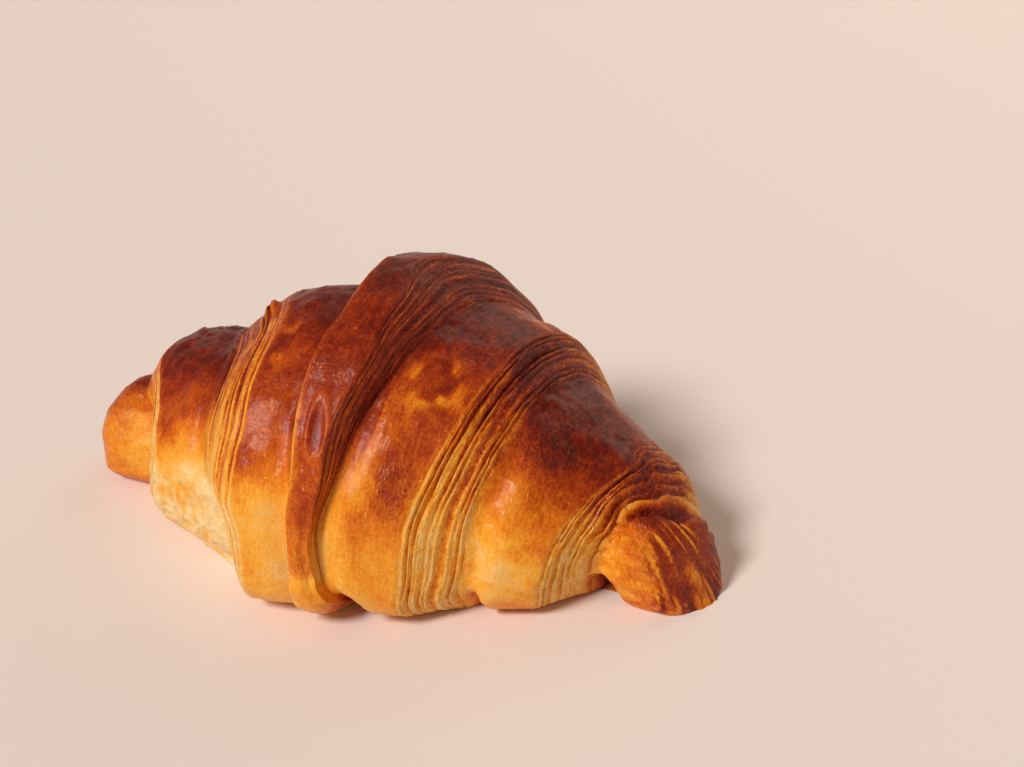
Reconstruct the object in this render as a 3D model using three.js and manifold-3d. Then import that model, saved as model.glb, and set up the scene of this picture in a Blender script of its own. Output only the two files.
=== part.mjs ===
// A whole baked croissant, lying on its flat underside. Sizes are in millimetres, angles in degrees.
// +X runs along the roll to its blunt end, -Y is the front, +Z is up, and the origin is under the
// middle of the bounding box. An angle goes round the roll: 0 is the front, 90 the top, 180 the back.
import * as THREE from "three";
import { mergeVertices } from "three/addons/utils/BufferGeometryUtils.js";
import Module from "manifold-3d";

// Length of the roll, and how its two ends are rounded off
const LEFT_END = -76;
const RIGHT_END = 73;
const LEFT_ROUNDING = 9;
const RIGHT_ROUNDING = 4;

// The dough is one long triangle, rolled up from its base. Its tip is tucked under the front.
const TIP_ANGLE = -62;
const WRAPS = 3;

// Distance of the triangle's two edges from the middle, against the angle wound back from the tip
const RIGHT_EDGE = [
  [-62, 12.5], [-28, 12], [-16, 10.8], [-6, 9], [4, 8.4], [29, 12.9], [49, 15], [77, 18.8], [94, 21],
  [130, 25.5], [180, 29], [260, 31.5], [340, 33.5], [369, 36.2], [411, 38.8], [458, 41.3], [560, 49],
  [714, 56.5], [750, 59], [771, 60.5], [789, 64], [826, 70.8], [1080, 76],
];
const LEFT_EDGE = [
  [-62, -2.5], [-4, -3], [17, -0.8], [46, 1.4], [65, 1.6], [82, 4.2], [130, 11], [180, 17], [250, 22],
  [342, 19], [364, 24], [374, 28.5], [390, 31.2], [420, 33], [433, 34.5], [455, 41], [560, 51],
  [701, 56], [731, 56.5], [759, 58.8], [800, 66], [900, 69],
];

// Width of the layered cut face that follows each edge
const RIGHT_FACE = [
  [-62, 1], [10, 0.9], [20, 1.8], [38, 4], [54, 4.6], [66, 6.9], [77, 9], [99, 16], [180, 11],
  [345, 11.5], [367, 12.5], [405, 10.5], [440, 9.9], [560, 11], [719, 10], [747, 8.6], [775, 6.8],
  [793, 8.7], [816, 14],
];
const LEFT_FACE = [
  [-62, 1.5], [-10, 1.2], [8, 3], [30, 5.7], [60, 4.6], [84, 7], [130, 7], [180, 8], [342, 12],
  [364, 17], [380, 21], [396, 23], [412, 22], [440, 21], [560, 14], [701, 13], [744, 14.7], [769, 13],
  [804, 11],
];

// Radius of the crust along the roll, for the outer wrap, the two under it and the core
const CRUST_RADIUS = [
  [[-34, 36], [-14, 41.5], [-4, 45], [6, 46], [16, 44.3], [40, 38]],
  [[-44, 30], [-30, 33.8], [-6, 39], [8, 39.6], [34, 34.5], [50, 30]],
  [[-70, 19], [-60, 22.5], [-50, 25], [-36, 25.5], [36, 29], [58, 19], [72, 16.5]],
  [[-80, 12.5], [-62, 13.5], [56, 12.6], [66, 12], [76, 10.5]],
];

// Radius of the underside, where the croissant's weight has pressed the folds smooth
const UNDERSIDE_RADIUS = [
  [-79, 11], [-62, 14], [-40, 23], [-10, 35.5], [10, 37.5], [35, 29], [47, 19], [56, 12.5], [64, 13],
  [75, 8],
];
const PRESSED_FROM = 0.6;
const PRESSED_FULLY = 0.86;

// Path of the roll: how far it bows to the front and how high its middle lies
const BOW = [
  [-79, -4], [-60, -3], [-45, -5], [-28, -9.5], [-14, -11], [10, -5.5], [45, 0], [58, 0.5], [75, -2],
];
const MIDDLE_HEIGHT = [
  [-79, 8], [-60, 10], [-28, 17], [-6, 19.8], [10, 20], [42, 14], [60, 10.5], [75, 10],
];

// Squareness of the underside, 1 for round, and the widths of the two sides against the height
const UNDERSIDE_POWER = [[-79, 0.8], [-50, 0.85], [-25, 0.6], [30, 0.6], [50, 0.85], [70, 0.8]];
const FRONT_WIDTH = 1.1;
const BACK_WIDTH = 0.99;

// The outer wrap thins out towards its tip
const TAIL_THINNING = 3.5;
const TAIL_FROM = 65;

// How far the underside would reach below the floor, if it were not flattened there
const SUNK = 2.5;

// The blunt end is turned to the front and cut at a slant
const END_TURN = 18;
const END_TURN_FROM = 46;
const END_SLANT = 0.34;

// Folds
const FOLD_DEPTH = 1.3;
const FOLD_WIDTH = 1.7;

// How finely the crust is drawn
const ANGLE_STEP = 5;
const LAST_FOLLOWED_ANGLE = 250;

const wasm = await Module();
wasm.setup();

// A number from 0 to 1 that rises smoothly between two limits.
function rise(from, to, value) {
  const t = Math.min(Math.max((value - from) / (to - from), 0), 1);
  return t * t * (3 - 2 * t);
}

// The slope of a curve at a station, which is level where the curve turns back.
function slopeAt(stations, i) {
  if (i === 0 || i === stations.length - 1) return 0;
  const [[x0, y0], [x1, y1], [x2, y2]] = stations.slice(i - 1, i + 2);
  const before = (y1 - y0) / (x1 - x0);
  const after = (y2 - y1) / (x2 - x1);
  return before * after > 0 ? (2 * before * after) / (before + after) : 0;
}

// A smooth curve through stations, level beyond the first and the last.
function curve(stations, value) {
  const last = stations.length - 1;
  if (value <= stations[0][0]) return stations[0][1];
  if (value >= stations[last][0]) return stations[last][1];
  const i = stations.findIndex(([x]) => x > value) - 1;
  const [[x0, y0], [x1, y1]] = stations.slice(i, i + 2);
  const span = x1 - x0;
  const t = (value - x0) / span;
  return (
    (1 + 2 * t) * (1 - t) ** 2 * y0 +
    t * (1 - t) ** 2 * span * slopeAt(stations, i) +
    t ** 2 * (3 - 2 * t) * y1 +
    t ** 2 * (t - 1) * span * slopeAt(stations, i + 1)
  );
}

// Where a wrap lies along the roll: its foot on each side, and where its crust begins there.
function wrapSpan(turn) {
  const left = Math.max(-curve(LEFT_EDGE, turn), LEFT_END + LEFT_ROUNDING + 2);
  const right = Math.min(curve(RIGHT_EDGE, turn), RIGHT_END - RIGHT_ROUNDING - 0.5);
  const crustLeft = left + curve(LEFT_FACE, turn);
  const crustRight = right - curve(RIGHT_FACE, turn);
  return { left, crustLeft, crustRight, right };
}

// The angle wound back from the tip on the outer wrap.
function outerTurn(angle) {
  return TIP_ANGLE + ((((angle - TIP_ANGLE) % 360) + 360) % 360);
}

// Radius of one wrap at a place along the roll, or 0 outside it.
function wrapRadius(wrap, x, turn, sunk) {
  const span = wrapSpan(turn);
  const fromLeft = (x - span.left) / (span.crustLeft - span.left);
  const fromRight = (span.right - x) / (span.right - span.crustRight);
  const inside = Math.min(fromLeft, fromRight, 1);
  if (inside <= 0) return 0;
  const under = curve(CRUST_RADIUS[wrap + 1], x);
  const thinned = TAIL_THINNING * (1 - rise(0, TAIL_FROM, turn));
  const crust = (curve(CRUST_RADIUS[wrap], x) - thinned) * (1 - sunk) + under * sunk;
  const foot = under - FOLD_DEPTH;
  return foot + (crust - foot) * (1 - (1 - inside) ** 1.5);
}

// Depth of the crease that the wraps press into the dough at their feet.
function crease(x, turn) {
  let depth = 0;
  for (let wrap = 0; wrap < WRAPS; wrap += 1) {
    const { left, right } = wrapSpan(turn + 360 * wrap);
    depth += Math.exp(-(((x - left) / FOLD_WIDTH) ** 2)) + Math.exp(-(((x - right) / FOLD_WIDTH) ** 2));
  }
  return FOLD_DEPTH * Math.min(depth, 1);
}

// Radius of the outermost wrap at a place along the roll and an angle round it.
function radius(x, angle) {
  const turn = outerTurn(angle);
  const sunk = rise(200, 358, turn - TIP_ANGLE);
  let outermost = curve(CRUST_RADIUS[WRAPS], x);
  for (let wrap = 0; wrap < WRAPS; wrap += 1)
    outermost = Math.max(outermost, wrapRadius(wrap, x, turn + 360 * wrap, sunk));
  const pressed = rise(PRESSED_FROM, PRESSED_FULLY, -Math.sin(THREE.MathUtils.degToRad(angle)));
  return (outermost - crease(x, turn)) * (1 - pressed) + curve(UNDERSIDE_RADIUS, x) * pressed;
}

// How much of the radius is left where the two ends are rounded off.
function endRounding(x) {
  const left = Math.min(Math.max((x - LEFT_END) / LEFT_ROUNDING, 0), 1);
  const right = Math.min(Math.max((RIGHT_END - x) / RIGHT_ROUNDING, 0), 1);
  return Math.sqrt(1 - (1 - left) ** 2) * (1 - (1 - right) ** 2) ** 0.4;
}

// A point of the crust.
function crustPoint(x, angle) {
  const reach = radius(x, angle) * endRounding(x);
  const a = THREE.MathUtils.degToRad(angle);
  const power = curve(UNDERSIDE_POWER, x);
  const width = Math.cos(a) > 0 ? FRONT_WIDTH : BACK_WIDTH;
  const across = Math.sin(a) > 0 ? -Math.cos(a) : -Math.sign(Math.cos(a)) * Math.abs(Math.cos(a)) ** power;
  const middle = curve(MIDDLE_HEIGHT, x);
  const drop = Math.abs(Math.sin(a)) ** power * (middle + SUNK) * rise(0, 0.7, endRounding(x));
  const above = Math.sin(a) > 0 ? Math.sin(a) * reach : -drop;
  const turn = THREE.MathUtils.degToRad(END_TURN * rise(END_TURN_FROM, RIGHT_END, x));
  const side = across * width * reach;
  const slant = END_SLANT * above * rise(RIGHT_END - 16, RIGHT_END - 3, x);
  return new THREE.Vector3(
    x - slant + side * Math.sin(turn),
    curve(BOW, x) + side * Math.cos(turn),
    middle + above,
  );
}

// Evenly spaced numbers after the first limit, up to and with the second.
function spaced(from, to, count) {
  return Array.from({ length: count }, (_, i) => from + ((to - from) * (i + 1)) / count);
}

// Places along the roll at one angle. They follow the folds, so that each fold is a clean line.
function followedPlaces(angle) {
  const [outer, middle, inner] = [0, 360, 720].map((wound) => wrapSpan(angle + wound));
  const leftRound = LEFT_END + LEFT_ROUNDING;
  const rightRound = RIGHT_END - RIGHT_ROUNDING;
  return [
    ...[22.5, 45, 67.5, 90].map((a) => leftRound - LEFT_ROUNDING * Math.cos(THREE.MathUtils.degToRad(a))),
    ...spaced(leftRound, inner.left, 2),
    ...spaced(inner.left, inner.crustLeft, 4),
    ...spaced(inner.crustLeft, middle.left, 6),
    ...spaced(middle.left, middle.crustLeft, 5),
    ...spaced(middle.crustLeft, outer.left, 4),
    ...spaced(outer.left, outer.crustLeft, 3),
    ...spaced(outer.crustLeft, outer.crustRight, 4),
    ...spaced(outer.crustRight, outer.right, 5),
    ...spaced(outer.right, middle.crustRight, 4),
    ...spaced(middle.crustRight, middle.right, 5),
    ...spaced(middle.right, inner.crustRight, 5),
    ...spaced(inner.crustRight, inner.right, 4),
    ...spaced(inner.right, rightRound, 3),
    ...[0.5, 0.2, 0.05, 0.01].map((part) => RIGHT_END - RIGHT_ROUNDING * part),
  ];
}

// Under the croissant the places go back to where they began at the tip.
function placesAt(angle) {
  if (angle <= LAST_FOLLOWED_ANGLE) return followedPlaces(angle);
  const back = (angle - LAST_FOLLOWED_ANGLE) / (TIP_ANGLE + 360 - LAST_FOLLOWED_ANGLE);
  const first = followedPlaces(TIP_ANGLE);
  return followedPlaces(LAST_FOLLOWED_ANGLE).map((x, i) => x * (1 - back) + first[i] * back);
}

// The closed crust as rows of points round the roll, with one point at each end.
function crustGeometry() {
  const rows = Array.from({ length: 360 / ANGLE_STEP }, (_, j) => {
    const angle = TIP_ANGLE + ANGLE_STEP * j;
    return placesAt(angle).map((x) => crustPoint(x, angle));
  });
  const columns = rows[0].length;
  const points = rows.flat();
  const leftPole = points.push(crustPoint(LEFT_END, 0)) - 1;
  const rightPole = points.push(crustPoint(RIGHT_END, 0)) - 1;
  const faces = [];
  rows.forEach((_, j) => {
    const here = j * columns;
    const next = ((j + 1) % rows.length) * columns;
    faces.push(leftPole, here, next);
    for (let i = 0; i < columns - 1; i += 1) {
      faces.push(here + i, here + i + 1, next + i);
      faces.push(next + i, here + i + 1, next + i + 1);
    }
    faces.push(rightPole, next + columns - 1, here + columns - 1);
  });
  const geometry = new THREE.BufferGeometry().setFromPoints(points);
  geometry.setIndex(faces);
  return geometry;
}

// A manifold solid made from a closed geometry.
function solidFrom(geometry) {
  const bare = new THREE.BufferGeometry();
  bare.setAttribute("position", geometry.getAttribute("position"));
  bare.setIndex(geometry.getIndex());
  const merged = mergeVertices(bare, 1e-4);
  return new wasm.Manifold(
    new wasm.Mesh({
      numProp: 3,
      vertProperties: merged.getAttribute("position").array,
      triVerts: new Uint32Array(merged.getIndex().array),
    }),
  );
}

// A geometry made from a manifold solid.
function geometryFrom(solid) {
  const { vertProperties, triVerts } = solid.getMesh();
  const geometry = new THREE.BufferGeometry();
  geometry.setAttribute("position", new THREE.BufferAttribute(vertProperties, 3));
  geometry.setIndex(new THREE.BufferAttribute(triVerts, 1));
  return geometry;
}

// The part of a geometry above the floor, which gives the croissant its flat underside.
function cutAtFloor(geometry) {
  const room = new THREE.BoxGeometry(400, 400, 200).translate(0, 0, 100);
  return geometryFrom(solidFrom(geometry).intersect(solidFrom(room)));
}

// A geometry moved so that the origin is under the middle of its bounding box.
function standOnOrigin(geometry) {
  geometry.computeBoundingBox();
  const middle = geometry.boundingBox.getCenter(new THREE.Vector3());
  geometry.translate(-middle.x, -middle.y, -geometry.boundingBox.min.z);
  geometry.computeVertexNormals();
  return geometry;
}

const crust = new THREE.MeshStandardMaterial({ color: 0xb5651f, roughness: 0.45, metalness: 0 });
const croissant = new THREE.Mesh(standOnOrigin(cutAtFloor(crustGeometry())), crust);
croissant.name = "croissant";

const group = new THREE.Group();
group.add(croissant);
export default group;
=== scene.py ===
import math

import bpy
import numpy as np
from mathutils import Matrix, Vector


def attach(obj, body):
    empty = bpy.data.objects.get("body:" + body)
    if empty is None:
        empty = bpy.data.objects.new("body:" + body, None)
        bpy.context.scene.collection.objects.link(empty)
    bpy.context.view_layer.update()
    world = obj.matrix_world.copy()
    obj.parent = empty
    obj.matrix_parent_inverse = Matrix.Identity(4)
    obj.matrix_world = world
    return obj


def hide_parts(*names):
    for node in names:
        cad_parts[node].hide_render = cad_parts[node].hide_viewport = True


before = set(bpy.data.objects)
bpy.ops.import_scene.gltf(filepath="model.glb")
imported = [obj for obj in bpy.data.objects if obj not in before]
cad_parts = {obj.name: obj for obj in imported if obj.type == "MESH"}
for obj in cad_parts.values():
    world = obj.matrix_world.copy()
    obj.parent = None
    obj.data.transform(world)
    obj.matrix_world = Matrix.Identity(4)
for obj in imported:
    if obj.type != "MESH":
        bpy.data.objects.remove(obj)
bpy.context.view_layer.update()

# A whole baked croissant on a pale surface. Sizes are in millimetres and angles in degrees, and the
# finished mesh is in metres. +X runs along the roll to its blunt end, -Y is the front and +Z is up.
# An angle goes round the roll: 0 is the front, 90 the top, 180 the back.

MM = 0.001

# Length of the roll, and how its two ends are rounded off
LEFT_END = -76.0
RIGHT_END = 73.0
LEFT_ROUNDING = 9.0
RIGHT_ROUNDING = 4.0

# The dough is one long triangle, rolled up from its base. Its tip is tucked under the front.
TIP_ANGLE = -62.0
WRAPS = 3

# Distance of the triangle's two edges from the middle, against the angle wound back from the tip
RIGHT_EDGE = [
    (-62, 12.5), (-28, 12), (-16, 10.8), (-6, 9), (4, 8.4), (29, 12.9), (49, 15), (77, 18.8), (94, 21),
    (130, 25.5), (180, 29), (260, 31.5), (340, 33.5), (369, 36.2), (411, 38.8), (458, 41.3), (560, 49),
    (714, 56.5), (750, 59), (771, 60.5), (789, 64), (826, 70.8), (1080, 76),
]
LEFT_EDGE = [
    (-62, -2.5), (-4, -3), (17, -0.8), (46, 1.4), (65, 1.6), (82, 4.2), (130, 11), (180, 17), (250, 22),
    (342, 19), (364, 24), (374, 28.5), (390, 31.2), (420, 33), (433, 34.5), (455, 41), (560, 51),
    (701, 56), (731, 56.5), (759, 58.8), (800, 66), (900, 69),
]

# Width of the layered cut face that follows each edge
RIGHT_FACE = [
    (-62, 1), (10, 0.9), (20, 1.8), (38, 4), (54, 4.6), (66, 6.9), (77, 9), (99, 16), (180, 11),
    (345, 11.5), (367, 12.5), (405, 10.5), (440, 9.9), (560, 11), (719, 10), (747, 8.6), (775, 6.8),
    (793, 8.7), (816, 14),
]
LEFT_FACE = [
    (-62, 1.5), (-10, 1.2), (8, 3), (30, 5.7), (60, 4.6), (84, 7), (130, 7), (180, 8), (342, 12),
    (364, 17), (380, 21), (396, 23), (412, 22), (440, 21), (560, 14), (701, 13), (744, 14.7), (769, 13),
    (804, 11),
]

# Radius of the crust along the roll, for the outer wrap, the two under it and the core
CRUST_RADIUS = [
    [(-34, 36), (-14, 41.5), (-4, 45), (6, 46), (16, 44.3), (40, 38)],
    [(-44, 30), (-30, 33.8), (-6, 39), (8, 39.6), (34, 34.5), (50, 30)],
    [(-70, 19), (-60, 22.5), (-50, 25), (-36, 25.5), (36, 29), (58, 19), (72, 16.5)],
    [(-80, 12.5), (-62, 13.5), (56, 12.6), (66, 12), (76, 10.5)],
]

# Radius of the underside, where the croissant's weight has pressed the folds smooth
UNDERSIDE_RADIUS = [
    (-79, 11), (-62, 14), (-40, 23), (-10, 35.5), (10, 37.5), (35, 29), (47, 19), (56, 12.5), (64, 13),
    (75, 8),
]
PRESSED_FROM = 0.6
PRESSED_FULLY = 0.86

# Path of the roll: how far it bows to the front and how high its middle lies
BOW = [
    (-79, -4), (-60, -3), (-45, -5), (-28, -9.5), (-14, -11), (10, -5.5), (45, 0), (58, 0.5), (75, -2),
]
MIDDLE_HEIGHT = [(-79, 8), (-60, 10), (-28, 17), (-6, 19.8), (10, 20), (42, 14), (60, 10.5), (75, 10)]

# Squareness of the underside, 1 for round, and the widths of the two sides against the height
UNDERSIDE_POWER = [(-79, 0.8), (-50, 0.85), (-25, 0.6), (30, 0.6), (50, 0.85), (70, 0.8)]
FRONT_WIDTH = 1.1
BACK_WIDTH = 0.99

# Rough radius by which distances round the roll are measured
MEAN_RADIUS = 36

# The outer wrap thins out towards its tip
TAIL_THINNING = 3.5
TAIL_FROM = 65.0

# How far the underside would reach below the floor, if it were not flattened there
SUNK = 2.5

# The blunt end is turned to the front
END_TURN = 18.0
END_TURN_FROM = 46.0

# Folds
FOLD_DEPTH = 1.3
FOLD_WIDTH = 1.7

# Waver of the folds' edges, roundness of the crust towards its edge, and how far a cut face leans
EDGE_WAVER = 0.45
CRUST_ROUNDNESS = 1.5
HOOD_ROUNDNESS = 2.5
FACE_LEAN = 0.8
LIP_HEIGHT = 0.35

# Layers that show on each cut face, by wrap and side: how many, how deep and a seed of their own
LEFT, RIGHT = -1, 1
FACES = {
    (0, LEFT): (5, 0.4, 11),
    (0, RIGHT): (9, 0.7, 23),
    (1, LEFT): (8, 0.7, 37),
    (1, RIGHT): (9, 1.6, 41),
    (2, LEFT): (4, 0.4, 53),
    (2, RIGHT): (7, 1.2, 67),
}
FINE_GROOVE = 0.22

# The blunt end is cut at a slant, and the last fold stands over it as a hood with a pocket beneath
END_SLANT = 0.34
END_FACE_DEPTH = 3.2
END_FAN = (-10.0, 44.0)
END_FAN_WIDTH = 30.0
END_STREAK = 0.35
HOOD_ANGLE = 100.0
HOOD_LIP = 1.8
HOOD_LIP_WIDTH = 0.75
POCKET_DEPTH = 3.4
POCKET_WIDTH = 3.0
POCKET_TURN = 38.0

# Notches under the front, where one fold meets the next: width and depth beside each wrap, angle past
# the tip where they are placed, and how far they go inwards and upwards
GAP_WIDTHS = (2.4, 1.5, 2.6)
GAP_DEPTHS = (1.0, 0.7, 1.5)
GAP_TURN = 40.0
GAP_INWARD = 4.0
GAP_UPWARD = 2.6

# Height over which the lowest dough flattens onto the floor
REST_HEIGHT = 0.6

# How far each skin and each cut face is baked, against the steepness from -90 under to 90 on top
SKIN_BAKE = {
    (0, LEFT): [(-40, 0.34), (-6, 0.43), (4, 0.48), (16, 0.56), (45, 0.67), (65, 0.74), (90, 0.82)],
    (1, LEFT): [(-40, 0.3), (0, 0.31), (14, 0.4), (28, 0.58), (46, 0.73), (66, 0.75), (90, 0.79)],
    (1, RIGHT): [(-40, 0.34), (0, 0.36), (15, 0.43), (32, 0.53), (50, 0.63), (70, 0.72), (90, 0.84)],
    (2, LEFT): [(-12, 0.05), (4, 0.12), (13, 0.25), (23, 0.43), (36, 0.6), (52, 0.72), (90, 0.82)],
    (2, RIGHT): [(-40, 0.36), (4, 0.37), (20, 0.44), (36, 0.54), (52, 0.66), (72, 0.8), (90, 0.88)],
    (3, LEFT): [(-40, 0.5), (-10, 0.42), (10, 0.4), (30, 0.43), (60, 0.56), (90, 0.7)],
    (3, RIGHT): [(-40, 0.46), (0, 0.42), (30, 0.45), (46, 0.54), (60, 0.78), (90, 0.86)],
}
SKIN_BAKE[0, RIGHT] = SKIN_BAKE[0, LEFT]
FACE_BAKE = {
    (0, LEFT): [(-40, 0.24), (0, 0.27), (20, 0.33), (50, 0.42), (90, 0.62)],
    (0, RIGHT): [(-40, 0.24), (-4, 0.25), (8, 0.4), (22, 0.52), (40, 0.6), (90, 0.74)],
    (1, LEFT): [(0, 0.13), (12, 0.2), (25, 0.28), (45, 0.35), (62, 0.42), (90, 0.6)],
    (1, RIGHT): [(-40, 0.2), (5, 0.21), (22, 0.27), (40, 0.39), (56, 0.52), (72, 0.66), (90, 0.8)],
    (2, LEFT): [(0, 0.1), (20, 0.15), (40, 0.23), (60, 0.3), (90, 0.5)],
    (2, RIGHT): [(-40, 0.2), (5, 0.2), (20, 0.23), (40, 0.32), (60, 0.49), (90, 0.7)],
}

# The darkest crust, the least that a golden patch is baked, and the tongue under the front
DARKEST = 0.84
GOLDEN = 0.29
TONGUE_BAKE = 0.3

# Finish of the crust and of its egg wash
SKIN_ROUGHNESS = 0.42
FACE_ROUGHNESS = 0.24
GLAZE_WEIGHT = 0.32
GLAZE_ROUGHNESS = 0.1

# Marks on the crust: place along the roll, angle, half its length along and half its length round
GOLD_PATCHES = [(23, 59, 6.5, 10), (45, -4, 8, 18), (-9, 64, 5, 9), (30, 118, 7, 12), (-20, 140, 6, 14)]
PEBBLED_PATCHES = [(21.8, 25, 3, 11), (44, 60, 5, 10), (5, 128, 7, 13), (-50, 118, 6, 16)]
BLISTER = (7.8, 36.5, 1.7, 7.6)
DIMPLES = [(46.0, 36, 0.9), (47.6, 33.5, 0.8), (43.6, 38, 0.7), (8.8, 61, 0.8), (-8.5, 32, 0.7)]
FLAKE = (-24.8, 88, 1.3, 4.5)

# Width of the streaks that run round the roll on the skins
SKIN_STREAK = 1.7

# How finely the crust is drawn
TOP_ROWS = 186
UNDERSIDE_ROWS = 24
LAST_FOLLOWED_ANGLE = 250.0
COLUMNS = [14, 8, 24, 30, 48, 28, 12, 24, 48, 34, 56, 26, 34, 20]
END_COLUMNS = 17

# Photograph's frame in pixels, and where the roll's own origin stands in it
PICTURE_WIDTH = 1024
PICTURE_HEIGHT = 767
FOCAL_PIXELS = 2000
ORIGIN_PIXEL = (402, 517)
PIXELS_PER_MM = 4.36
CAMERA_AZIMUTH = 27.0
CAMERA_ELEVATION = 27.0
SENSOR = 36.0

# Light from the window, from the pale wall behind and from the room
WINDOW_STRENGTH = 2.65
WALL_STRENGTH = 4.6
ROOM_STRENGTH = 0.22


# Numbers and curves

def rise(low, high, value):
    """A number from 0 to 1 that rises smoothly between two limits."""
    t = np.clip((value - low) / (high - low), 0, 1)
    return t * t * (3 - 2 * t)


def curve(stations, values):
    """A smooth curve through stations, level beyond the first and the last."""
    x, y = np.array(stations, float).T
    steps = np.diff(y) / np.diff(x)
    slopes = np.zeros(len(x))
    product = steps[:-1] * steps[1:]
    onward = product > 0
    slopes[1:-1][onward] = 2 * product[onward] / (steps[:-1] + steps[1:])[onward]
    values = np.clip(values, x[0], x[-1])
    i = np.clip(np.searchsorted(x, values, side="right") - 1, 0, len(x) - 2)
    span = x[i + 1] - x[i]
    t = (values - x[i]) / span
    return (
        (1 + 2 * t) * (1 - t) ** 2 * y[i]
        + t * (1 - t) ** 2 * span * slopes[i]
        + t**2 * (3 - 2 * t) * y[i + 1]
        + t**2 * (t - 1) * span * slopes[i + 1]
    )


LATTICE_SIZE = 32
LATTICE = np.random.default_rng(7).random((LATTICE_SIZE,) * 3)


def noise(x, y, z):
    """Smooth noise from -1 to 1, with features about one unit across."""
    places = np.stack(np.broadcast_arrays(x, y, z), axis=-1)
    cells = np.floor(places).astype(int)
    t = places - cells
    t = t * t * (3 - 2 * t)
    total = 0
    for corner in np.ndindex(2, 2, 2):
        weights = np.prod(np.where(corner, t, 1 - t), axis=-1)
        i = (cells + corner) % LATTICE_SIZE
        total = total + weights * LATTICE[i[..., 0], i[..., 1], i[..., 2]]
    return 2 * total - 1


def bell(distance, width):
    """1 at no distance, falling smoothly to 0."""
    return np.exp(-((distance / width) ** 2))


# Shape of the roll

def wrap_span(turn):
    """A wrap's foot on each side, and where its crust begins there."""
    waver = EDGE_WAVER * noise(turn / 17, 3.3, 8.1)
    left = np.maximum(-curve(LEFT_EDGE, turn) + waver, LEFT_END + LEFT_ROUNDING + 2)
    waver = EDGE_WAVER * noise(turn / 19, 9.7, 2.2)
    right = np.minimum(curve(RIGHT_EDGE, turn) + waver, RIGHT_END - RIGHT_ROUNDING - 0.5)
    return left, left + curve(LEFT_FACE, turn), right - curve(RIGHT_FACE, turn), right


def spaced(low, high, count):
    """Evenly spaced places after the first limit, up to and with the second, for every row."""
    parts = np.arange(1, count + 1) / count
    return low[:, None] + (high - low)[:, None] * parts


def followed_places(angle):
    """Places along the roll for rows at these angles. They follow the folds."""
    outer, middle, inner = [wrap_span(angle + wound) for wound in (0, 360, 720)]
    start = np.full_like(angle, LEFT_END)
    left_round = start + LEFT_ROUNDING
    right_round = np.full_like(angle, RIGHT_END - RIGHT_ROUNDING)
    stops = [
        left_round, inner[0], inner[1], middle[0], middle[1], outer[0], outer[1],
        outer[2], outer[3], middle[2], middle[3], inner[2], inner[3], right_round,
    ]
    round_off = 1 - np.cos(np.radians(90 * np.arange(1, COLUMNS[0] + 1) / COLUMNS[0]))
    places = [start[:, None] + LEFT_ROUNDING * round_off]
    for low, high, count in zip(stops, stops[1:], COLUMNS[1:]):
        places.append(spaced(low, high, count))
    left_over = (1 - np.arange(1, END_COLUMNS) / END_COLUMNS) ** 2.2
    places.append(right_round[:, None] + RIGHT_ROUNDING * (1 - left_over))
    return np.hstack(places)


def rows_round():
    """The rows' angles, closer together where they show."""
    top = np.linspace(TIP_ANGLE, LAST_FOLLOWED_ANGLE, TOP_ROWS, endpoint=False)
    under = np.linspace(LAST_FOLLOWED_ANGLE, TIP_ANGLE + 360, UNDERSIDE_ROWS, endpoint=False)
    return np.concatenate([top, under])


def places_along(angles):
    """Places along the roll for every row. Under it they go back to where they began at the tip."""
    places = followed_places(np.minimum(angles, LAST_FOLLOWED_ANGLE))
    back = np.maximum(angles - LAST_FOLLOWED_ANGLE, 0) / (TIP_ANGLE + 360 - LAST_FOLLOWED_ANGLE)
    return places * (1 - back)[:, None] + places[:1] * back[:, None]


def layer_lines(turn, depth, layers, seed):
    """A cut face's layers: 1 on a layer and 0 in a groove, and a number that rises layer by layer."""
    drift = 0.5 * noise(turn / 45, depth * 1.6, seed) + 0.16 * noise(turn / 12, depth * 4, seed + 5)
    count = depth * layers + drift + 0.28 * np.sin(depth * layers * 2.4 + seed)
    groove = np.rint(count)
    strength = 0.4 + 0.6 * rise(-0.6, 0.4, noise(turn / 28, groove * 2.7, seed + 9))
    breadth = 0.27 + 0.08 * noise(turn / 20, groove * 1.9, seed + 13)
    fine_count = depth * layers * 2.6 + 1.1 * noise(turn / 18, depth * 4, seed + 17)
    fine_groove = np.rint(fine_count)
    fine_strength = 0.5 * rise(-0.3, 0.7, noise(turn / 14, fine_groove * 3.1, seed + 21))
    coarse = 1 - strength * bell(count - groove, breadth)
    fine = 1 - fine_strength * bell(fine_count - fine_groove, FINE_GROOVE)
    return coarse * fine, count


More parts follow.
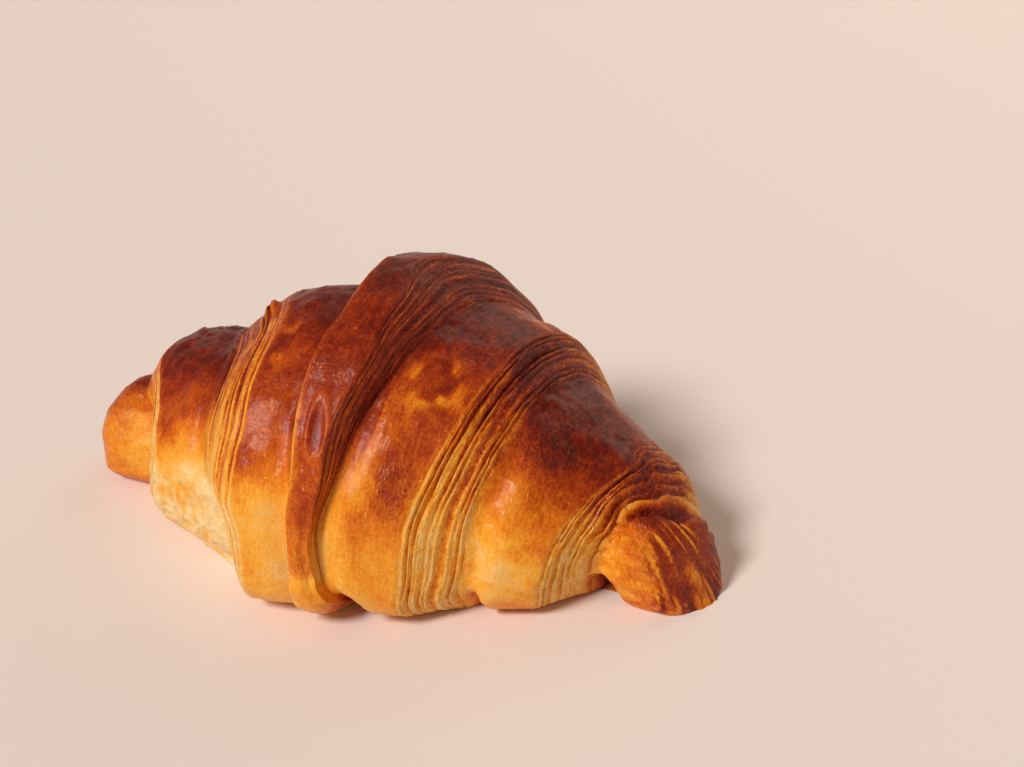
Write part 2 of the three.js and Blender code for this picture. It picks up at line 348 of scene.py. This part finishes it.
def dress(x, turn):
    """Radius of the outermost wrap, with what shows there: depth into a cut face, ridges and edges."""
    sunk = rise(200, 358, turn - TIP_ANGLE)
    radius = curve(CRUST_RADIUS[WRAPS], x)
    depth = np.zeros_like(x)
    ridge = np.ones_like(x)
    count = np.zeros_like(x)
    relief = np.zeros_like(x)
    lean = np.zeros_like(x)
    lip = np.zeros_like(x)
    wrap_shown = np.full(x.shape, WRAPS)
    side_shown = np.where(x < 0, LEFT, RIGHT)
    crease = np.zeros_like(x)
    shelter = np.zeros_like(x)
    hood = rise(30, 75, turn) * (1 - rise(150, 190, turn))
    pocket = np.zeros_like(x)
    for wrap in reversed(range(WRAPS)):
        wound = turn + 360 * wrap
        left, crust_left, crust_right, right = wrap_span(wound)
        from_left = (x - left) / (crust_left - left)
        from_right = (right - x) / (right - crust_right)
        near_left = from_left < from_right
        inside = np.minimum(from_left, from_right)
        cut = 1 - np.clip(inside, 0, 1)
        under = curve(CRUST_RADIUS[wrap + 1], x)
        thinned = TAIL_THINNING * (1 - rise(0, TAIL_FROM, wound))
        crust = (curve(CRUST_RADIUS[wrap], x) - thinned) * (1 - sunk) + under * sunk
        foot = under - FOLD_DEPTH
        hooded = (wrap == 2) * ~near_left * hood
        reach = foot + (crust - foot) * (1 - cut ** (CRUST_ROUNDNESS + HOOD_ROUNDNESS * hooded))
        shown = (inside > 0) & (reach > radius)
        outside = np.where(inside > 0, FOLD_WIDTH, 1.8 * FOLD_WIDTH)
        crease += bell(x - left, outside) + bell(x - right, outside)
        shelter = np.where(shown, 0, shelter) + bell(x - left + 1, 5) + bell(x - right - 1, 5)
        radius = np.where(shown, reach, radius)
        wrap_shown[shown] = wrap
        side_shown = np.where(shown, np.where(near_left, LEFT, RIGHT), side_shown)
        if wrap == 2:
            beneath = bell(x - right - 0.8, POCKET_WIDTH) * bell(turn - HOOD_ANGLE, POCKET_TURN)
            pocket = rise(right - 0.4, right + 0.8, x) * beneath
            lip = HOOD_LIP * hooded * bell(x - right + 0.3, HOOD_LIP_WIDTH)
        for side, here in ((LEFT, shown & near_left), (RIGHT, shown & ~near_left)):
            layers, height, seed = FACES[wrap, side]
            lines, layer = layer_lines(wound, cut, layers, seed)
            strength = (0.8 + 0.4 * noise(wound / 40, cut * 3, seed + 20)) * rise(0, 0.1, cut)
            width = (crust_left - left) if side == LEFT else (right - crust_right)
            opened = rise(-9, 4, wound)
            depth = np.where(here, cut * opened, depth)
            ridge = np.where(here, 1 - (1 - lines) * rise(0, 0.08, cut) * opened, ridge)
            count = np.where(here, layer, count)
            relief = np.where(here, height * strength * rise(2, 9, width) ** 0.5 * (lines - 0.7), relief)
            edge = bell((inside - 1) * width, 0.8) * rise(-0.5, 0.6, noise(wound / 22, 1.7, seed + 31))
            lip = np.where(here, np.maximum(lip, (0.9 if side == LEFT else 0.25) * edge), lip)
            lean = np.where(here, side * (bell(inside - 1, 0.3) - bell(inside, 0.25)), lean)
    closed = 1 - 0.5 * rise(40, 80, turn) * (1 - rise(120, 160, turn))
    radius = radius - FOLD_DEPTH * np.minimum(crease, 1) * closed - POCKET_DEPTH * pocket
    return {
        "radius": radius, "depth": depth, "ridge": ridge, "count": count, "relief": relief,
        "lean": lean, "lip": lip, "wrap": wrap_shown, "side": side_shown, "pocket": pocket,
        "crease": np.minimum(crease, 1), "shelter": np.minimum(shelter, 1),
    }


def end_rounding(x):
    """How much of the radius is left where the two ends are rounded off."""
    left = np.clip((x - LEFT_END) / LEFT_ROUNDING, 0, 1)
    right = np.clip((RIGHT_END - x) / RIGHT_ROUNDING, 0, 1)
    return np.sqrt(1 - (1 - left) ** 2) * (1 - (1 - right) ** 2) ** 0.4


def round_way(angle):
    """Rough distance round the roll in millimetres."""
    return np.radians(angle) * MEAN_RADIUS


def patch(x, angle, marks):
    """1 in the middle of the nearest mark, falling to 0 past its edge."""
    total = np.zeros_like(x)
    for along, around, half_along, half_around in marks:
        away = ((x - along) / half_along) ** 2 + ((angle - around) / half_around) ** 2
        total = np.maximum(total, np.exp(-(away**1.5)))
    return total


def blister_rim(x, angle):
    """A long raised blister: how near each point is to its rim, and how far inside it."""
    along, around, half_width, half_length = BLISTER
    across = (x - along + 0.09 * (angle - around)) / half_width
    away = np.hypot(across, (angle - around) / half_length / 1.2)
    return bell(away - 0.85, 0.28), rise(0.2, -0.2, away - 0.8)


def torn_dough(angle, looks):
    """1 where the pale dough under the left wrap has torn open."""
    return (looks["wrap"] == 2) * (looks["side"] == LEFT) * (1 - rise(4, 16, angle))


def bumps(x, angle, looks):
    """Unevenness of the crust: slow swells, small bubbles and fine wrinkles, in millimetres."""
    around = round_way(angle)
    skin = looks["depth"] == 0
    swell = 0.5 * noise(x / 15, around / 15, 4.0) + 0.3 * noise(x / 5, around / 6, 14.0)
    wrinkles = 0.09 * noise(x / 1.6, around / 3.4, 24.0) + 0.05 * noise(x / 0.8, around / 1.3, 44.0)
    wrinkles = wrinkles * (1 + 1.5 * rise(50, 85, 90 - np.abs(angle - 90)))
    bubbles = np.maximum(noise(x / 3.4, around / 3.1, 34.0) - 0.3, 0)
    pebbles = patch(x, angle, PEBBLED_PATCHES) * noise(x / 0.95, around / 0.95, 54.0)
    knobs = (looks["wrap"] == WRAPS) * (x > 0) * noise(x / 2.6, around / 3.2, 64.0)
    tears = noise(x / 1.1, around / 2.1, 94.0) + 0.7 * noise(x / 3, around / 3, 95.0)
    torn = torn_dough(angle, looks) * tears
    dimples = sum(bell(np.hypot(x - along, (around - round_way(at))), size) for along, at, size in DIMPLES)
    rim, inner = blister_rim(x, angle)
    flake = 2.2 * patch(x, angle, [FLAKE])
    fine = wrinkles + 0.5 * bubbles + 0.22 * pebbles + 0.3 * knobs + 0.6 * torn - 0.35 * dimples
    tongue = -0.8 * bell(angle + 5, 3) * (looks["wrap"] == 0)
    return swell + fine * np.where(skin, 1, 0.4) + (0.5 * rim - 0.15 * inner) * skin + flake + tongue


def gaps(x, angle):
    """Notches under the front, where one fold meets the next above the surface."""
    total = np.zeros_like(x)
    for wrap in range(WRAPS):
        right = wrap_span(TIP_ANGLE + GAP_TURN + 360 * wrap)[3]
        total = np.maximum(total, GAP_DEPTHS[wrap] * bell(x - right - 1.0, GAP_WIDTHS[wrap]))
    return total * rise(-12, -36, angle) * (angle < 90)


def place(x, angle, looks):
    """Points of the crust."""
    pressed = rise(PRESSED_FROM, PRESSED_FULLY, -np.sin(np.radians(angle)))
    notch = gaps(x, angle)
    radius = looks["radius"] * (1 - pressed) + curve(UNDERSIDE_RADIUS, x) * pressed - GAP_INWARD * notch
    raised = (looks["relief"] + LIP_HEIGHT * looks["lip"] + bumps(x, angle, looks)) * (1 - pressed)
    reach = (radius + raised) * end_rounding(x)
    a = np.radians(angle)
    cos, sin = np.cos(a), np.sin(a)
    power = curve(UNDERSIDE_POWER, x)
    width = np.where(cos > 0, FRONT_WIDTH, BACK_WIDTH)
    across = np.where(sin > 0, -cos, -np.sign(cos) * np.abs(cos) ** power)
    middle = curve(MIDDLE_HEIGHT, x)
    sunk = np.abs(sin) ** power * (middle + SUNK)
    turn = np.radians(END_TURN * rise(END_TURN_FROM, RIGHT_END, x))
    side = across * width * reach
    height = np.where(sin > 0, middle + sin * reach, middle - sunk * rise(0, 0.7, end_rounding(x)))
    slant = END_SLANT * (height - middle) * rise(RIGHT_END - 16, RIGHT_END - 3, x)
    streak = end_streaks(side, height) * end_face(x, angle)
    lean = FACE_LEAN * looks["lean"] * (1 - pressed) * rise(0, 8, RIGHT_END - x)
    along = x + lean - slant + END_STREAK * streak
    height = height + GAP_UPWARD * notch
    flattened = np.maximum(height + REST_HEIGHT, 0) ** 2 / (4 * REST_HEIGHT)
    height = np.where(height < REST_HEIGHT, flattened, height)
    return np.stack([along + side * np.sin(turn), curve(BOW, x) + side * np.cos(turn), height], axis=-1)


def end_face(x, angle):
    """1 on the flat face of the blunt end, and on the burnt edge under it."""
    depth = END_FACE_DEPTH * (1 + rise(0, -40, angle))
    return rise(RIGHT_END - depth, RIGHT_END - 0.5 * depth, x)


def end_fan(side, height):
    """Place on the face of the blunt end, across and along the layers that fan out downwards there."""
    aside, down = side - END_FAN[0], END_FAN[1] - height
    return END_FAN_WIDTH * np.arctan2(aside, down), np.hypot(aside, down)


def end_streaks(side, height):
    """1 on the layers that stand out on the face of the blunt end, 0 between them."""
    across, down = end_fan(side, height)
    streaks = 0.6 * noise(across / 1.0, down / 11, 74.0) + 0.5 * noise(across / 0.45, down / 6, 84.0)
    return rise(-0.15, 0.45, streaks - 0.012 * across)


# Browning, with painted shade in the grooves, creases, pocket and notches

def baked_curve(table, looks, steep):
    """Each point's value from the curve of its own wrap and side."""
    total = np.zeros_like(steep)
    for (wrap, side), stations in table.items():
        here = (looks["wrap"] == wrap) & (looks["side"] == side)
        total = np.where(here, curve(stations, steep), total)
    return total


def browning_and_shade(x, angle, looks):
    """How far each point is baked, from 0 for pale dough to 1 for the darkest crust, with painted shade
    added in the hollows.
    """
    turned = (angle + 90) % 360 - 90
    steep = np.degrees(np.arcsin(np.sin(np.radians(turned))))
    around = round_way(angle)
    cut = looks["depth"] > 0
    even = end_rounding(x)
    wavy = steep + (6 * noise(x / 7, around / 9, 6.5) + 3 * noise(x / 2.4, around / 3, 16.5)) * even
    face = rise(0, 0.05, looks["depth"])
    base = baked_curve(SKIN_BAKE, looks, wavy) * (1 - face) + baked_curve(FACE_BAKE, looks, wavy) * face
    tongue = (looks["wrap"] == 0) * (1 - face) * rise(-2, -6, angle + wavy - steep)
    base = base + (TONGUE_BAKE - base) * tongue
    blotch = (0.07 * noise(x / 8, around / 8, 5.5) + 0.07 * noise(x / 3.2, around / 4.2, 15.5)) * even
    low = 1 - rise(30, 62, steep)
    # Painted shade darkens the grooves between the layers of a cut face, more so higher up, and painted
    # light makes the ridge tops a little paler.
    groove_shade_and_ridge_light = (0.21 + 0.25 * rise(5, 50, steep)) * (1 - looks["ridge"]) - 0.09 * face * looks["ridge"]
    shelter = -0.15 * looks["shelter"] * (1 - rise(48, 76, steep)) * ~cut * (looks["wrap"] > 0)
    edge = -0.18 * looks["lip"]
    # Painted shade darkens the crust along the creases where one fold tucks under the next, more so higher
    # up, but not on the pale lips.
    foot = (0.05 + 0.05 * rise(10, 60, steep)) * looks["crease"] * (looks["lip"] < 0.5)
    cells = rise(-0.15, 0.4, noise(x / 2.3, around / 2.3, 26.5))
    above_gold = np.maximum(base - GOLDEN, 0)
    gold = -np.minimum(0.32 * patch(x, angle, GOLD_PATCHES) * cells, above_gold) * (1 - face)
    red = 0.18 * patch(x, angle, PEBBLED_PATCHES)
    rim, inner = blister_rim(x, angle)
    # The blister's rim is made paler, partly as a painted highlight, and its inside a little darker.
    blister = (0.05 * inner - 0.1 * rim) * ~cut
    under = 0.12 * rise(0.75, 0.95, -np.sin(np.radians(angle))) * even
    torn = 0.15 * torn_dough(angle, looks) * noise(x / 1.3, around / 2.4, 96.0)
    back = 0.16 * (looks["wrap"] == 2) * (looks["side"] == LEFT) * rise(95, 140, angle) * low
    # Painted shade darkens the pocket under the hood and the notches under the front; the other marks are
    # the crust's own colour.
    marks = gold + red + blister + torn + back + 0.4 * looks["pocket"] + 0.5 * gaps(x, angle)
    return base + blotch + groove_shade_and_ridge_light + shelter + edge + foot + under + marks


# The piece

def clear_selection():
    """Leave edit mode and deselect everything."""
    if bpy.context.object and bpy.context.object.mode != "OBJECT":
        bpy.ops.object.mode_set(mode="OBJECT")
    bpy.ops.object.select_all(action="DESELECT")


def ball_of_dough(rows, columns):
    """A ball with one ring for every column along the roll, which is then shaped."""
    clear_selection()
    bpy.ops.mesh.primitive_uv_sphere_add(segments=rows, ring_count=columns + 1, radius=1)
    ball = bpy.context.object
    ball.name = "baked_croissant"
    places = np.empty(len(ball.data.vertices) * 3)
    ball.data.vertices.foreach_get("co", places)
    x, y, z = places.reshape(-1, 3).T
    column = np.rint(np.degrees(np.arccos(np.clip(-z, -1, 1))) / 180 * (columns + 1)).astype(int) - 1
    row = np.rint(np.degrees(np.arctan2(y, x)) / 360 * rows).astype(int) % rows
    return ball, row, column


def baked_points(x, angle, looks, side, height, end):
    """How far each point is baked, with its painted shade and the burnt layers on the face of the blunt
    end.
    """
    burnt = 0.69 - 0.4 * end_streaks(side, height) + 0.1 * (1 - rise(2, 9, height))
    return np.clip(browning_and_shade(x, angle, looks) * (1 - end) + burnt * end, 0, DARKEST)


def streak_places(x, angle, looks, side, height, end):
    """Place of each point across and along the layers or streaks that show there, and its wrap's seed."""
    across = np.where(looks["depth"] > 0, looks["count"], x / SKIN_STREAK)
    fan_across, fan_down = end_fan(side, height)
    nub = x < LEFT_END + 0.7 * LEFT_ROUNDING
    across = np.where(end > 0.5, fan_across, np.where(nub, side / SKIN_STREAK, across))
    along = np.where(end > 0.5, fan_down, np.where(nub, height, round_way(angle)))
    wrap_seed = 9 * looks["wrap"] + 4 * looks["side"]
    return np.stack([across, along, wrap_seed], axis=-1)


def shape_croissant():
    """The baked croissant, centred on the frame's origin, and how far it was shifted for that."""
    angles = rows_round()
    x = places_along(angles)
    rows, columns = x.shape
    angle = np.broadcast_to(angles[:, None], x.shape)
    looks = dress(x, angle)
    points = place(x, angle, looks)
    side, height = points[..., 1] - curve(BOW, x), points[..., 2]
    end = end_face(x, angle)
    baked = baked_points(x, angle, looks, side, height, end)
    ball, row, column = ball_of_dough(rows, columns)
    inner = np.clip(column, 0, columns - 1)
    shaped = points[row, inner]
    poles = {-1: points[:, 0].mean(axis=0), columns: points[:, -1].mean(axis=0)}
    for pole, middle in poles.items():
        shaped[column == pole] = middle
    low, high = shaped.min(axis=0), shaped.max(axis=0)
    shift = np.array([-(low[0] + high[0]) / 2, -(low[1] + high[1]) / 2, 0])
    ball.data.vertices.foreach_set("co", ((shaped + shift) * MM).ravel())
    face = rise(0, 0.06, looks["depth"]) * (1 - end)
    grain = patch(x, angle, PEBBLED_PATCHES) + 0.35 * (looks["wrap"] == WRAPS) + 0.2 * face
    grain = np.clip(grain, 0, 1)
    colours = np.stack([baked, face, looks["ridge"], grain], axis=-1)[row, inner]
    crust = ball.data.attributes.new("crust", "FLOAT_COLOR", "POINT")
    crust.data.foreach_set("color", colours.ravel())
    streaks = streak_places(x, angle, looks, side, height, end)[row, inner]
    layers = ball.data.attributes.new("layers", "FLOAT_VECTOR", "POINT")
    layers.data.foreach_set("vector", streaks.ravel())
    bpy.ops.object.mode_set(mode="EDIT")
    bpy.ops.mesh.select_all(action="SELECT")
    bpy.ops.mesh.normals_make_consistent(inside=False)
    bpy.ops.object.mode_set(mode="OBJECT")
    bpy.ops.object.shade_smooth()
    ball.data.update()
    return ball, shift


# Materials

def linear(red, green, blue):
    """A colour given in steps from 0 to 255, as the shader wants it."""
    return tuple((c / 255) ** 2.2 for c in (red, green, blue)) + (1.0,)


BAKE_COLOURS = [
    (0.0, linear(238, 208, 152)),
    (0.14, linear(240, 184, 100)),
    (0.26, linear(242, 168, 56)),
    (0.38, linear(232, 136, 30)),
    (0.5, linear(208, 100, 16)),
    (0.62, linear(172, 64, 8)),
    (0.76, linear(130, 36, 4)),
    (0.88, linear(92, 20, 4)),
    (1.0, linear(58, 10, 4)),
]


class Nodes:
    """Shader nodes of one material, made and joined in one call each."""

    def __init__(self, name):
        self.material = bpy.data.materials.new(name)
        self.material.use_nodes = True
        self.tree = self.material.node_tree
        self.shader = self.tree.nodes["Principled BSDF"]

    def put(self, kind, settings=None, **sockets):
        node = self.tree.nodes.new("ShaderNode" + kind)
        for key, value in (settings or {}).items():
            setattr(node, key, value)
        for key, value in sockets.items():
            self.feed(node.inputs[key.replace("_", " ")], value)
        return node

    def feed(self, socket, value):
        if isinstance(value, bpy.types.NodeSocket):
            self.tree.links.new(value, socket)
        else:
            socket.default_value = value

    def math(self, operation, *values):
        node = self.tree.nodes.new("ShaderNodeMath")
        node.operation = operation
        for socket, value in zip(node.inputs, values):
            self.feed(socket, value)
        return node.outputs["Value"]

    def noise(self, where, scale, detail, roughness):
        node = self.put("TexNoise", Vector=where, Scale=scale, Detail=detail, Roughness=roughness)
        return self.math("SUBTRACT", node.outputs["Fac"], 0.5)


def crust_material():
    """Egg-washed crust, coloured by how far it is baked and by the shade painted into its hollows, with
    fine layers on the cut faces.
    """
    n = Nodes("egg_washed_crust")
    crust = n.put("Attribute", {"attribute_name": "crust"})
    parts = n.put("SeparateColor", Color=crust.outputs["Color"])
    baked, face, ridge = (parts.outputs[key] for key in ("Red", "Green", "Blue"))
    grain = crust.outputs["Alpha"]
    skin = n.math("SUBTRACT", 1.0, face)
    where = n.put("TexCoord").outputs["Object"]
    layers = n.put("Attribute", {"attribute_name": "layers"}).outputs["Vector"]
    flow = n.put("Mapping", Vector=layers, Scale=(1.0, 0.09, 1.0)).outputs["Vector"]

    streaks = n.noise(flow, 3.4, 5, 0.68)
    streaks = n.math("MULTIPLY", streaks, n.math("MULTIPLY_ADD", face, 0.5, 0.3))
    mottle = n.math("MULTIPLY", n.noise(where, 480, 8, 0.72), skin)
    mottle = n.math("MULTIPLY", mottle, n.math("MULTIPLY_ADD", baked, 1.3, 0.2))
    speckle = n.math("MULTIPLY", n.noise(where, 1500, 4, 0.7), n.math("MULTIPLY_ADD", face, 0.7, 1.0))
    flecks = n.math("MAXIMUM", n.math("SUBTRACT", n.noise(where, 1150, 2, 0.5), 0.15), 0.0)
    shade = n.math("ADD", streaks, baked)
    shade = n.math("MULTIPLY_ADD", mottle, 0.4, shade)
    shade = n.math("MULTIPLY_ADD", speckle, 0.3, shade)
    shade = n.math("MULTIPLY_ADD", flecks, -1.4, shade)
    ramp = n.put("ValToRGB", Fac=shade)
    stops = ramp.color_ramp.elements
    stops[0].position, stops[0].color = BAKE_COLOURS[0]
    stops[1].position, stops[1].color = BAKE_COLOURS[-1]
    for position, colour in BAKE_COLOURS[1:-1]:
        stops.new(position).color = colour
    n.feed(n.shader.inputs["Base Color"], ramp.outputs["Color"])

    rough = n.math("MULTIPLY_ADD", face, FACE_ROUGHNESS, SKIN_ROUGHNESS)
    rough = n.math("MULTIPLY_ADD", mottle, 0.25, rough)
    n.feed(n.shader.inputs["Roughness"], rough)
    n.shader.inputs["Specular IOR Level"].default_value = 0.12
    n.shader.inputs["Coat Weight"].default_value = GLAZE_WEIGHT
    n.shader.inputs["Coat Roughness"].default_value = GLAZE_ROUGHNESS

    wrinkles = n.noise(where, 820, 6, 0.66)
    pebbles = n.math("MULTIPLY", n.noise(where, 1600, 3, 0.5), n.math("MULTIPLY_ADD", grain, 3.5, 0.35))
    cells = n.put("TexVoronoi", {"feature": "SMOOTH_F1"}, Vector=where, Scale=620).outputs["Distance"]
    bubbly = n.math("MULTIPLY", n.math("MAXIMUM", n.noise(where, 110, 2, 0.5), 0.0), skin)
    bubbles = n.math("MULTIPLY", cells, n.math("MULTIPLY", bubbly, -4.0))
    height = n.math("MULTIPLY_ADD", streaks, 0.8, n.math("MULTIPLY", wrinkles, 0.75))
    height = n.math("ADD", height, n.math("ADD", pebbles, bubbles))
    height = n.math("MULTIPLY_ADD", n.math("MULTIPLY", ridge, face), 0.3, height)
    bump = n.put("Bump", Height=height, Strength=0.6, Distance=0.0007)
    n.feed(n.shader.inputs["Normal"], bump.outputs["Normal"])
    swells = n.math("MULTIPLY_ADD", n.noise(where, 310, 1, 0.5), 2.0, height)
    glaze = n.put("Bump", Height=swells, Strength=0.32, Distance=0.0006)
    n.feed(n.shader.inputs["Coat Normal"], glaze.outputs["Normal"])
    return n.material


def floor_material():
    """A pale matt surface."""
    material = bpy.data.materials.new("pale_surface")
    material.use_nodes = True
    shader = material.node_tree.nodes["Principled BSDF"]
    shader.inputs["Base Color"].default_value = (0.93, 0.815, 0.775, 1)
    shader.inputs["Roughness"].default_value = 0.7
    return material


# Floor, light and camera

def lay_floor():
    """The surface that the croissant lies on."""
    clear_selection()
    bpy.ops.mesh.primitive_plane_add(size=6)
    floor = bpy.context.object
    floor.name = "pale_floor"
    floor.data.materials.append(floor_material())


def aim(lamp, place, target):
    """Turn a lamp at a place towards its target."""
    lamp.rotation_euler = (Vector(target) - Vector(place)).to_track_quat("-Z", "Y").to_euler()


def light_scene():
    """Soft daylight from the front, warm light off the wall behind and a pale room."""
    clear_selection()
    window = (-0.3, -1.1, 1.0)
    bpy.ops.object.light_add(type="SUN", location=window)
    lamp = bpy.context.object
    lamp.name = "window_light"
    lamp.data.energy = WINDOW_STRENGTH
    lamp.data.angle = math.radians(16)
    lamp.data.color = (1.0, 0.95, 0.88)
    aim(lamp, window, (0, 0, 0.02))

    clear_selection()
    behind = (0.2, 1.3, 0.85)
    bpy.ops.object.light_add(type="AREA", location=behind)
    lamp = bpy.context.object
    lamp.name = "wall_light"
    lamp.data.shape = "DISK"
    lamp.data.size = 1.2
    lamp.data.energy = WALL_STRENGTH
    lamp.data.color = (1.0, 0.8, 0.62)
    aim(lamp, behind, (0, 0, 0.03))

    world = bpy.data.worlds.new("pale_room")
    world.use_nodes = True
    backdrop = world.node_tree.nodes["Background"]
    backdrop.inputs["Color"].default_value = (1.0, 0.89, 0.77, 1)
    backdrop.inputs["Strength"].default_value = ROOM_STRENGTH
    bpy.context.scene.world = world
    bpy.context.scene.view_settings.view_transform = "Standard"


def set_camera(shift):
    """The camera stands so that the roll's own origin falls on its pixel in the photograph."""
    a, e = math.radians(CAMERA_AZIMUTH), math.radians(CAMERA_ELEVATION)
    back = Vector((math.sin(a) * math.cos(e), -math.cos(a) * math.cos(e), math.sin(e)))
    right = Vector((math.cos(a), math.sin(a), 0))
    up = back.cross(right)
    distance = FOCAL_PIXELS / PIXELS_PER_MM
    aside = (ORIGIN_PIXEL[0] - PICTURE_WIDTH / 2) / FOCAL_PIXELS * distance
    above = (PICTURE_HEIGHT / 2 - ORIGIN_PIXEL[1]) / FOCAL_PIXELS * distance
    place = back * distance - right * aside - up * above + Vector(shift)
    clear_selection()
    bpy.ops.object.camera_add(location=place * MM)
    camera = bpy.context.object
    camera.name = "photo_camera"
    camera.rotation_euler = Matrix((right, up, back)).transposed().to_euler()
    camera.data.sensor_width = SENSOR
    camera.data.lens = FOCAL_PIXELS / PICTURE_WIDTH * SENSOR
    camera.data.clip_start = 0.01
    bpy.context.scene.camera = camera


def main():
    clear_selection()
    croissant, shift = shape_croissant()
    croissant.data.materials.append(crust_material())
    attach(croissant, "root")
    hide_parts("croissant")
    lay_floor()
    light_scene()
    set_camera(shift)


main()
